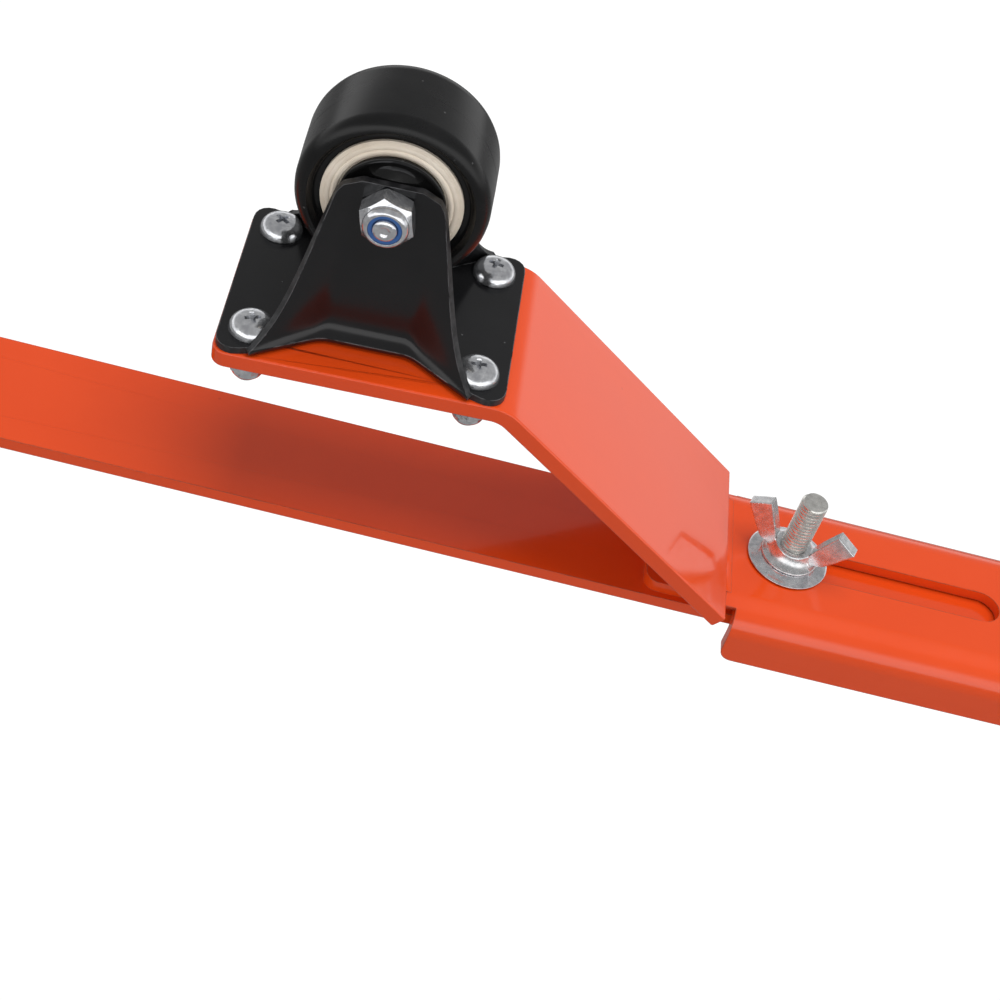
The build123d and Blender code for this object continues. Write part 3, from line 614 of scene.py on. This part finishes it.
bm = bmesh.new()
bmesh.ops.create_grid(bm, x_segments=leg_columns, y_segments=leg_rows + roll_rows, size=1.0)
for v in bm.verts:
    across = v.co.x
    row = round((v.co.y + 1) / 2 * (leg_rows + roll_rows))
    if row >= roll_rows:
        height = foot_roll + (leg_top - foot_roll) * ((row - roll_rows) / leg_rows) ** row_crowding
        inward = 0.0
    else:
        angle = pi / 2 * (roll_rows - row) / roll_rows
        height = foot_roll * (1 - sin(angle))
        inward = foot_roll * (1 - cos(angle))
    top_share = max(foot_roll, height)
    v.co = Vector((across * leg_half_width(top_share), -fork_face - leg_bow(top_share, across) + inward,
                   height)) * MM
foot_rows = [sorted((v for v in bm.verts if abs(v.co.z) < 1e-7), key=lambda v: v.co.x)]
near_leg = bm.verts[:] + bm.edges[:] + bm.faces[:]
far_leg = bmesh.ops.duplicate(bm, geom=near_leg)["geom"]
far_verts = [item for item in far_leg if isinstance(item, bmesh.types.BMVert)]
bmesh.ops.scale(bm, verts=far_verts, vec=(1, -1, 1))
foot_rows.append(sorted((v for v in far_verts if abs(v.co.z) < 1e-7), key=lambda v: -v.co.x))
corner_points = [(1, -1), (1, 1), (-1, 1), (-1, -1)]
corners = [bm.verts.new((x * plate_half_x * MM, y * plate_half_y * MM, 0)) for x, y in corner_points]
ring = foot_rows[0] + [corners[0], corners[1]] + foot_rows[1] + [corners[2], corners[3]]
for start, end in zip(ring, ring[1:] + ring[:1]):
    if bm.edges.get((start, end)) is None:
        bm.edges.new((start, end))
bmesh.ops.bevel(bm, geom=corners, offset=plate_corner * MM, affect="VERTICES", segments=6, profile=0.5,
                material=-1)
for screw_x, screw_y in screw_places:
    hole(bm, (screw_x - slot_offset, screw_y), slot_half, screw_hole, screw_hole)
flat_edges = [e for e in bm.edges if all(abs(v.co.z) < 1e-7 for v in e.verts)]
bmesh.ops.triangle_fill(bm, edges=flat_edges, use_beauty=True, normal=(0, 0, -1))
bmesh.ops.remove_doubles(bm, verts=bm.verts, dist=1e-6)
bmesh.ops.recalc_face_normals(bm, faces=bm.faces)
if sum(f.normal.z * f.calc_area() for f in bm.faces if abs(f.normal.z) > 0.99) > 0:
    bmesh.ops.reverse_faces(bm, faces=bm.faces)
bm.transform(to_shelf)
mesh = settle("caster_fork", bm, [plate_wall(fork_wall), soft_edges(0.25, 2, 50)], closed=False)
show("caster_fork_pressing", mesh, "channel", black_enamel, "black_enamel", "caster_fork", sharp=40,
     edge_material=sheared_edge)

# %% [markdown]
# Everything that a lathe would make is one profile spun round an axis: the tread, the core, the thread
# guards, the screws' heads, the washers. A profile is a list of (radius, height) corners with a
# rounding radius for each, and a full spin merges its seam.


# %% Lathe
def turned(profile, steps=96):
    """Spin a closed profile of (radius, height, rounding) in millimetres round Z."""
    bm = bmesh.new()
    points = [bm.verts.new((r * MM, 0, h * MM)) for r, h, _ in profile]
    pairs = list(zip(points, points[1:]))
    if profile[0][0] > 0 or profile[-1][0] > 0:
        pairs.append((points[-1], points[0]))
    for start, end in pairs:
        bm.edges.new((start, end))
    for point, (_, _, rounding) in zip(points, profile):
        if rounding:
            bmesh.ops.bevel(bm, geom=[point], offset=rounding * MM, affect="VERTICES", segments=5,
                            profile=0.5, material=-1)
    bmesh.ops.spin(bm, geom=bm.verts[:] + bm.edges[:], cent=(0, 0, 0), axis=Z, angle=2 * pi, steps=steps,
                   use_merge=True)
    bmesh.ops.remove_doubles(bm, verts=bm.verts, dist=1e-6)
    bmesh.ops.recalc_face_normals(bm, faces=bm.faces)
    return bm


near_side = Matrix.Rotation(pi / 2, 4, "X")
far_side = Matrix.Rotation(-pi / 2, 4, "X")

# %% [markdown]
# The tread is soft polyurethane cast round the core: a slightly crowned face, round shoulders and side
# walls that dip towards the core. The core is moulded nylon with turned rings on its face.

# %% Wheel
tread_half, tread_radius, core_radius = 13.6, 25.0, 18.2
side = [(core_radius, -tread_half + 2.4, 0), (20.0, -tread_half + 2.2, 0.6), (21.4, -tread_half, 0.9),
        (tread_radius - 0.1, -tread_half, 4.0)]
profile = side + [(tread_radius, -0.2, 0), (tread_radius - 0.06, 0, 0), (tread_radius, 0.2, 0)]
profile += [(r, -h, f) for r, h, f in reversed(side)]
bm = turned(profile, 160)
bm.transform(to_axle @ near_side)
show("tread_tyre", settle("tread_tyre", bm), "wheel", tread_rubber, "tread_rubber", "wheel_tread", sharp=50)

core_half = 12.25
face = [(11.0, -11.5, 0), (14.0, -11.5, 0.2), (14.2, -core_half + 0.1, 0.3), (15.2, -core_half - 0.2, 0.3),
        (15.6, -core_half + 0.25, 0.15), (16.0, -core_half - 0.1, 0.3), (16.9, -core_half - 0.1, 0.3),
        (17.2, -core_half + 0.35, 0.15), (core_radius, -core_half + 0.2, 0.2)]
bm = turned(face + [(r, -h, f) for r, h, f in reversed(face)], 128)
bm.transform(to_axle @ near_side)
show("core_hub", settle("core_hub", bm), "wheel", cream_plastic, "cream_plastic", "wheel_core", sharp=40)

# %% [markdown]
# A glossy dished cap keeps grit out of each bearing. Its rim stands just inside the core, and its middle
# rises to meet the fork.

# %% Thread guards
guard = [(4.1, 11.5, 0), (5.7, 11.5, 0), (5.7, 12.0, 0), (13.8, 12.0, 0.2), (13.8, 13.1, 0.35),
         (12.7, 13.1, 0.5), (11.0, 12.5, 1.2), (6.6, 13.8, 0.5), (4.1, 13.9, 0)]
for hand, turn in (("near", near_side), ("far", far_side)):
    bm = turned(guard, 96)
    bm.transform(to_axle @ turn)
    guard_mesh = settle(f"thread_guard_{hand}", bm)
    cad = ("thread_guards",) if hand == "near" else ()
    show(f"thread_guard_{hand}", guard_mesh, "channel", black_plastic, "black_plastic", *cad, sharp=40)

# %% [markdown]
# A thread is a saw-tooth spun upwards: one tooth, a pitch tall, climbs a little at each step of the
# spin, and the turns join edge to edge. Two bisecting planes trim the ends square, and the cut rims are
# filled.


# %% Threaded rod
def threaded(radius, pitch, low, high, tip_chamfer=0.0, steps=32):
    """A threaded rod from one height to another in millimetres, closed at both ends."""
    bm = bmesh.new()
    depth = 0.54 * pitch
    start = low - 2 * pitch
    tooth = [(radius - depth, 0.0), (radius - depth, pitch * 0.12), (radius, pitch * 0.45),
             (radius, pitch * 0.62), (radius - depth, pitch)]
    points = [bm.verts.new((r * MM, 0, (start + h) * MM)) for r, h in tooth]
    for a, b in zip(points, points[1:]):
        bm.edges.new((a, b))
    turns = ceil((high - low) / pitch) + 4
    bmesh.ops.spin(bm, geom=bm.verts[:] + bm.edges[:], cent=(0, 0, 0), axis=Z, dvec=Z * pitch * MM / steps,
                   angle=2 * pi * turns, steps=steps * turns)
    bmesh.ops.remove_doubles(bm, verts=bm.verts, dist=1e-6)
    for level, clear in ((low, "clear_inner"), (high, "clear_outer")):
        whole = bm.verts[:] + bm.edges[:] + bm.faces[:]
        cut = bmesh.ops.bisect_plane(bm, geom=whole, plane_co=Z * level * MM, plane_no=Z, dist=1e-7,
                                     **{clear: True})["geom_cut"]
        rim = [item for item in cut if isinstance(item, bmesh.types.BMEdge)]
        bmesh.ops.edgeloop_fill(bm, edges=rim)
    if tip_chamfer:
        for v in bm.verts:
            over = v.co.z / MM - (high - tip_chamfer)
            limit = (radius - max(0.0, over) * 0.9) * MM
            if over > 0 and v.co.xy.length > limit:
                v.co.xy = v.co.xy.normalized() * limit
    bmesh.ops.recalc_face_normals(bm, faces=bm.faces)
    return bm


def joined(parts):
    """One bmesh that holds several, which are used up."""
    whole = bmesh.new()
    for part in parts:
        scrap = bpy.data.meshes.new("scrap")
        part.to_mesh(scrap)
        part.free()
        whole.from_mesh(scrap)
        bpy.data.meshes.remove(scrap)
    return whole


def copied(mesh, matrix):
    """A bmesh copy of a mesh, moved by a matrix."""
    bm = bmesh.new()
    bm.from_mesh(mesh)
    bm.transform(matrix)
    return bm


def cut_by(mesh, tool, operation="DIFFERENCE"):
    """A mesh after a boolean with a tool mesh."""
    cutter = placed("cutter", tool)
    result = modified(mesh, "BOOLEAN", {"object": cutter, "operation": operation, "solver": "EXACT"})
    bpy.data.objects.remove(cutter)
    return result


# %% [markdown]
# A nut is a hexagon that has been turned: a cone cuts its corners, which leaves the curved edges that
# every real nut has. So the hexagon is made first, and a spun cone is intersected with it.

# %% Nuts and hexagon heads
def hexagon(across, height, bore, ease_low, ease_high):
    """A hexagon body from z = 0 up, its corners eased by cones at either end."""
    corner = across / sqrt(3)
    bm = bmesh.new()
    prism = bmesh.ops.create_cone(bm, segments=6, cap_ends=True, radius1=corner * MM, radius2=corner * MM,
                                  depth=height * MM)["verts"]
    bmesh.ops.translate(bm, verts=prism, vec=Z * height * MM / 2)
    body = settle("hexagon", bm)
    bite, outside, slant = corner - across / 2 + 0.25, corner + 0.2, 0.6
    envelope = [(bore, 0, 0), (outside - bite * ease_low, 0, 0), (outside, bite * slant * ease_low, 0),
                (outside, height - bite * slant * ease_high, 0), (outside - bite * ease_high, height, 0),
                (bore, height, 0)]
    cone = settle("cone", turned(envelope, 72))
    return cut_by(body, cone, "INTERSECT")


# %% [markdown]
# The axle is an M8 bolt. Its lock nut has a rolled collar that holds a blue nylon ring, and the bolt's
# end shows in the middle with a small centre dimple.

# %% Axle bolt and lock nut
leg_face, nut_height, collar, nut_lie = 16.0, 6.0, 8.0, radians(12)
nut_body = hexagon(13.0, nut_height, 4.05, 1.0, 1.7)
collar_ring = [(4.3, nut_height - 0.3, 0), (5.95, nut_height - 0.3, 0), (5.95, collar - 0.7, 0.9),
               (4.7, collar, 0.35), (4.35, collar - 0.15, 0), (4.35, nut_height, 0)]
parts = [copied(nut_body, Matrix.Identity(4)), turned(collar_ring, 72)]
bm = joined(parts)
to_nut = to_axle @ near_side @ Matrix.Translation(Z * leg_face * MM)
bm.transform(to_nut @ Matrix.Rotation(nut_lie, 4, "Z"))
show("axle_lock_nut", settle("axle_lock_nut", bm, [soft_edges(0.18, 2, 25)]), "channel", zinc_bright,
     "zinc_steel", "axle_nut", sharp=30)

bm = turned([(3.2, 7.0, 0), (4.33, 6.2, 0), (4.33, collar - 0.3, 0.2), (3.25, collar - 0.35, 0.3)], 64)
bm.transform(to_nut)
show("lock_nut_ring", settle("lock_nut_ring", bm), "channel", blue_nylon, "blue_nylon", "axle_nut_insert")

head_height = 5.3
bolt_end = leg_face + collar + 0.6
shank = turned([(0, -leg_face - 0.5, 0), (3.95, -leg_face - 0.5, 0), (3.95, leg_face + 5.8, 0),
                (3.1, leg_face + 6.8, 0), (3.1, bolt_end - 0.4, 0.3), (2.3, bolt_end, 0.3),
                (1.7, bolt_end, 0.3), (0.9, bolt_end - 0.4, 0.2), (0, bolt_end - 0.5, 0)], 64)
head = copied(hexagon(13.0, head_height, 0.0, 0.0, 1.0),
              Matrix.Translation(-Z * leg_face * MM) @ Matrix.Rotation(pi, 4, "X"))
bm = joined([shank, head])
bm.transform(to_axle @ near_side)
show("axle_m8_bolt", settle("axle_m8_bolt", bm, [soft_edges(0.15, 2, 25)]), "channel", zinc_bright,
     "zinc_steel", "axle_bolt", sharp=30)

# %% [markdown]
# Four round-headed screws hold the caster to its shelf. One head is turned, a tapered cross is cut into
# it, and the screw is copied to the four places, each turned a little differently, as a hand leaves them.
# The lock nuts under the shelf end in a rolled collar.

# %% Caster screws and nuts
screw_head, head_rise, screw_radius, screw_length = 6.1, 4.0, 3.0, 16.0
dome_steps = 12
dome = [(0, head_rise, 0)] + [(screw_head * cos(pi / 2 * k / dome_steps) ** 0.62,
                               head_rise * sin(pi / 2 * k / dome_steps) ** 0.9, 0)
                              for k in range(dome_steps - 1, 0, -1)]
bm = turned(dome + [(screw_head, 0.3, 0), (screw_head - 0.2, -0.02, 0), (0, -0.02, 0)], 64)
head_mesh = settle("screw_head", bm)
for turn in (0, pi / 2):
    bm = bmesh.new()
    bmesh.ops.create_cone(bm, segments=4, cap_ends=True, radius1=0.6 * MM, radius2=1.1 * MM, depth=2.6 * MM)
    bmesh.ops.rotate(bm, verts=bm.verts, cent=(0, 0, 0), matrix=Matrix.Rotation(pi / 4, 3, "Z"))
    bmesh.ops.scale(bm, verts=bm.verts, vec=(3.1, 0.9, 1))
    bmesh.ops.rotate(bm, verts=bm.verts, cent=(0, 0, 0), matrix=Matrix.Rotation(turn, 3, "Z"))
    bmesh.ops.translate(bm, verts=bm.verts, vec=Z * (head_rise - 0.75) * MM)
    head_mesh = cut_by(head_mesh, settle("blade", bm))
rod_mesh = settle("screw_rod", threaded(screw_radius, 1.0, -screw_length, -0.01, 0.8))
nut_tall, nut_hexagon = 8.0, 5.4
collar_ring = [(screw_radius, -0.2, 0), (4.4, -0.2, 0), (4.4, nut_tall - nut_hexagon - 0.4, 0.9),
               (3.4, nut_tall - nut_hexagon, 0.3), (screw_radius, nut_tall - nut_hexagon - 0.2, 0)]
upside_down = Matrix.Rotation(pi, 4, "X")
flats = copied(hexagon(10.0, nut_hexagon, screw_radius, 1.0, 1.2), upside_down)
rolled = copied(settle("collar", turned(collar_ring, 48)),
                Matrix.Translation(-nut_hexagon * Z * MM) @ upside_down)
nut_mesh = settle("caster_nut", joined([flats, rolled]))

screws, screw_nuts = [], []
lie = [radians(a) for a in (20, 52, 5, 74)]
for angle, (x, y) in zip(lie, screw_places):
    lies = Matrix.Rotation(angle, 4, "Z")
    seat = to_shelf @ Matrix.Translation(Vector((x, y, fork_wall)) * MM) @ lies
    screws += [copied(head_mesh, seat), copied(rod_mesh, seat)]
    under = to_shelf @ Matrix.Translation(Vector((x, y, -bracket_wall)) * MM) @ lies
    screw_nuts.append(copied(nut_mesh, under))
show("caster_screw_set", settle("caster_screw_set", joined(screws)), "channel", zinc_bright, "zinc_steel",
     "caster_screws", sharp=35)
show("caster_nut_set", settle("caster_nut_set", joined(screw_nuts), [soft_edges(0.15, 2, 25)]), "channel",
     zinc_bright, "zinc_steel", "caster_nuts", sharp=30)

# %% [markdown]
# A clamp bolt comes up through the bar: a low domed head underneath, a square neck that stops it turning,
# and a full thread with its end cut off square.

# %% Clamp bolts
bolt_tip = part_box("clamp_bolts")[1][2] / MM
bar_low = (bar_top / MM) - bar_wall
rod_mesh = settle("clamp_rod", threaded(4.0, 1.25, bar_top / MM - 0.2, bolt_tip, 0.35, 40))
bm = turned([(0, bar_low - 3.6, 0), (4.2, bar_low - 3.3, 1.5), (8.5, bar_low - 0.6, 0.5),
             (8.5, bar_low - 0.02, 0), (0, bar_low - 0.02, 0)], 64)
cup_mesh = settle("clamp_head", bm)
bm = bmesh.new()
bmesh.ops.create_cube(bm, size=1.0)
bmesh.ops.scale(bm, verts=bm.verts, vec=(8.0 * MM, 8.0 * MM, (bar_wall - 0.05) * MM))
bmesh.ops.translate(bm, verts=bm.verts, vec=Z * (bar_low + bar_wall / 2) * MM)
neck_mesh = settle("clamp_neck", bm)
bolts = []
for bolt_x in bolt_places:
    bolts += [copied(part, Matrix.Translation(X * bolt_x)) for part in (rod_mesh, cup_mesh, neck_mesh)]
show("clamp_bolt_pair", settle("clamp_bolt_pair", joined(bolts)), "bar", zinc_thread, "zinc_steel",
     "clamp_bolts", sharp=35)

# %% [markdown]
# Under each wing nut sits a dished washer: a rim that curves up to a raised seat. The wing nut is
# a rough casting, so its hub and wings are modelled as simple shapes that overlap, and then a voxel
# remesh melts them together with the soft inner corners that molten metal leaves.

# %% Washers and wing nuts
washer_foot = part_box("clamp_washer_1")[0][2] / MM
nut_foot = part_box("wing_nut_1")[0][2] / MM
wing_turn = radians(-20.5)
washer = [(4.1, 0.0, 0), (12.0, 0.0, 0.15), (12.3, 0.35, 0.15), (11.8, 0.75, 0.4), (10.6, 0.95, 0.9),
          (9.0, 1.6, 0.8), (4.1, 1.6, 0)]
wing_root, wing_top = (4.4, 9.6), (10.8, 17.0)
wing_high, wing_drop, wing_low, wing_lift = 16.2, 3.6, 1.2, 1.4
wing_thick, wing_taper = 4.4, 0.8


def wing(side):
    """One wing: a block that leans outwards from the hub, with a top that slopes down to its tip."""
    bm = bmesh.new()
    bmesh.ops.create_cube(bm, size=1.0)
    bmesh.ops.subdivide_edges(bm, edges=bm.edges, cuts=5, use_grid_fill=True)
    for v in bm.verts:
        out, thick, up = v.co.x + 0.5, v.co.y, v.co.z + 0.5
        inner = wing_root[0] + (wing_top[0] - wing_root[0]) * up ** 1.3
        outer = wing_root[1] + (wing_top[1] - wing_root[1]) * up ** 0.9
        low = wing_low + wing_lift * out
        high = wing_high - wing_drop * out
        v.co = Vector((side * (inner + (outer - inner) * out), thick * (wing_thick - wing_taper * up),
                       low + (high - low) * up)) * MM
    if side < 0:
        bmesh.ops.reverse_faces(bm, faces=bm.faces)
    return bm


hub = turned([(3.2, 0.05, 0), (8.7, 0.05, 0.15), (8.7, 0.85, 0.35), (8.1, 0.85, 0.3), (6.9, 1.5, 0.8),
              (5.9, 3.2, 0.8), (5.6, 4.7, 0.5), (3.2, 4.7, 0)], 64)
bm = joined([hub, wing(-1), wing(1)])
mesh = settle("wing_cast", bm, [("REMESH", {"mode": "VOXEL", "voxel_size": 0.22 * MM}),
                                ("SMOOTH", {"iterations": 5, "factor": 0.5})])
bm = bmesh.new()
bmesh.ops.create_cone(bm, segments=48, cap_ends=True, radius1=4.02 * MM, radius2=4.02 * MM, depth=40 * MM)
wing_mesh = cut_by(mesh, settle("bore", bm))
for number, bolt_x in enumerate(bolt_places, start=1):
    bm = turned(washer, 72)
    bm.transform(Matrix.Translation(Vector((bolt_x, 0, washer_foot * MM))))
    show(f"dished_washer_{number}", settle(f"dished_washer_{number}", bm), f"washer_{number}", zinc_bright,
         "zinc_steel", f"clamp_washer_{number}", sharp=40)
    nut_place = Matrix.Translation(Vector((bolt_x, 0, nut_foot * MM))) @ Matrix.Rotation(wing_turn, 4, "Z")
    bm = copied(wing_mesh, nut_place)
    show(f"cast_wing_nut_{number}", settle(f"cast_wing_nut_{number}", bm), f"wing_nut_{number}", zinc_cast,
         "zinc_steel", f"wing_nut_{number}", sharp=60)

# %% [markdown]
# The CAD nodes that stay as they are get their finish here.

# %% Finishes of the CAD pieces
finishes = {
    orange_coat: ["lock_hook", "t_bar"],
    grip_rubber: ["load_hook_liner", "lock_hook_liner", "rubber_sleeve_near", "rubber_sleeve_far"],
    zinc_bright: ["axle_spacer", "t_bar_bolts", "t_bar_nuts"],
    bearing_steel: ["bearing_inner_rings", "bearing_outer_rings", "bearing_balls"],
    cap_plastic: ["end_cap_near", "end_cap_far"],
}
for material, names in finishes.items():
    for name in names:
        for holder in nodes[name].material_slots:
            holder.material = material
        print(name, "->", material.name)

# %% [markdown]
# The floor is a pale light table: it glows white to the camera, and as plain grey paper to the piece, so
# its mirrored light does not wash out the paint. A broad soft light hangs overhead. The studio is bright
# in front up to eye height and behind near the horizon, and its ceiling is dim, so flat tops keep a
# deep colour while faces and bends that look at the bright walls pick up a pale sheen.

# %% Floor, light and camera
low, high = cad_box
bm = bmesh.new()
bmesh.ops.create_grid(bm, x_segments=1, y_segments=1, size=6.0)
bmesh.ops.translate(bm, verts=bm.verts, vec=((low[0] + high[0]) / 2, 0, low[2] - 0.0005))
floor_mesh = settle("floor", bm)
floor = placed("floor", floor_mesh)
paper, tree, shader, where = start_material("floor_paper")
tone = mix(tree, noise(tree, where, 3.0), (0.22, 0.22, 0.22, 1), (0.24, 0.24, 0.24, 1))
seen = put(tree, "LightPath").outputs["Is Camera Ray"]
wire(tree, shader, Base_Color=tone, Roughness=0.9, Emission_Strength=0.84,
     Emission_Color=mix(tree, seen, (0.10, 0.10, 0.10, 1), (1, 1, 1, 1)))
floor_mesh.materials.clear()
floor_mesh.materials.append(paper)

world = bpy.data.worlds.new("studio")
bpy.context.scene.world = world
world.use_nodes = True
tree = world.node_tree
sky = tree.nodes["Background"]
sight = put(tree, "SeparateXYZ", Vector=put(tree, "TexCoord").outputs["Generated"]).outputs
across, rise = sight["Y"], sight["Z"]


def sky_ramp(stops):
    """Brightness against height above the horizon, from 0 at the horizon to 1 overhead."""
    ramp = put(tree, "ValToRGB", Fac=rise)
    ramp.color_ramp.elements.remove(ramp.color_ramp.elements[1])
    for place, level in stops:
        stop = ramp.color_ramp.elements.new(place) if place else ramp.color_ramp.elements[0]
        stop.color = (level, level, level, 1)
    return ramp.outputs["Color"]


back_wall = sky_ramp([(0.0, 0.63), (0.20, 0.60), (0.36, 0.25), (0.75, 0.21), (1.0, 0.21)])
front_wall = sky_ramp([(0.0, 1.0), (0.40, 1.0), (0.56, 0.25), (1.0, 0.21)])
wall = mix(tree, span(tree, across, -0.15, -0.55), back_wall, front_wall)
wire(tree, sky, Color=wall, Strength=1.6)


def soft_light(name, offset, size, power):
    """A square area light that looks at the wheel from an offset in metres."""
    data = bpy.data.lights.new(name, "AREA")
    data.shape, data.size, data.energy = "SQUARE", size, power
    lamp = placed(name, data)
    lamp.location = axle + Vector(offset)
    lamp.rotation_euler = (-Vector(offset)).to_track_quat("-Z", "Y").to_euler()
    return lamp


overhead = soft_light("overhead", (0.25, 0.0, 1.3), 1.2, 16.5)
overhead.visible_glossy = False

camera_offset = Vector((-0.4, -396.5, 292.4)) * MM
yaw, pitch, roll = radians(-6.69), radians(45.04), radians(18.5)
forward = Vector((-sin(yaw) * cos(pitch), cos(yaw) * cos(pitch), -sin(pitch)))
level = Vector((cos(yaw), sin(yaw), 0))
upright = level.cross(forward)
right = cos(roll) * level + sin(roll) * upright
above = -sin(roll) * level + cos(roll) * upright
camera_data = bpy.data.cameras.new("camera")
camera_data.sensor_width, camera_data.lens = 36.0, 68.86
camera_data.shift_x, camera_data.shift_y = 0.0205, 0.0009
camera_data.clip_start = 0.01
camera = placed("camera", camera_data)
turn = Matrix((right, above, -forward)).transposed().to_4x4()
camera.matrix_world = Matrix.Translation(axle + camera_offset) @ turn
bpy.context.scene.camera = camera
bpy.context.scene.view_settings.view_transform = "Standard"
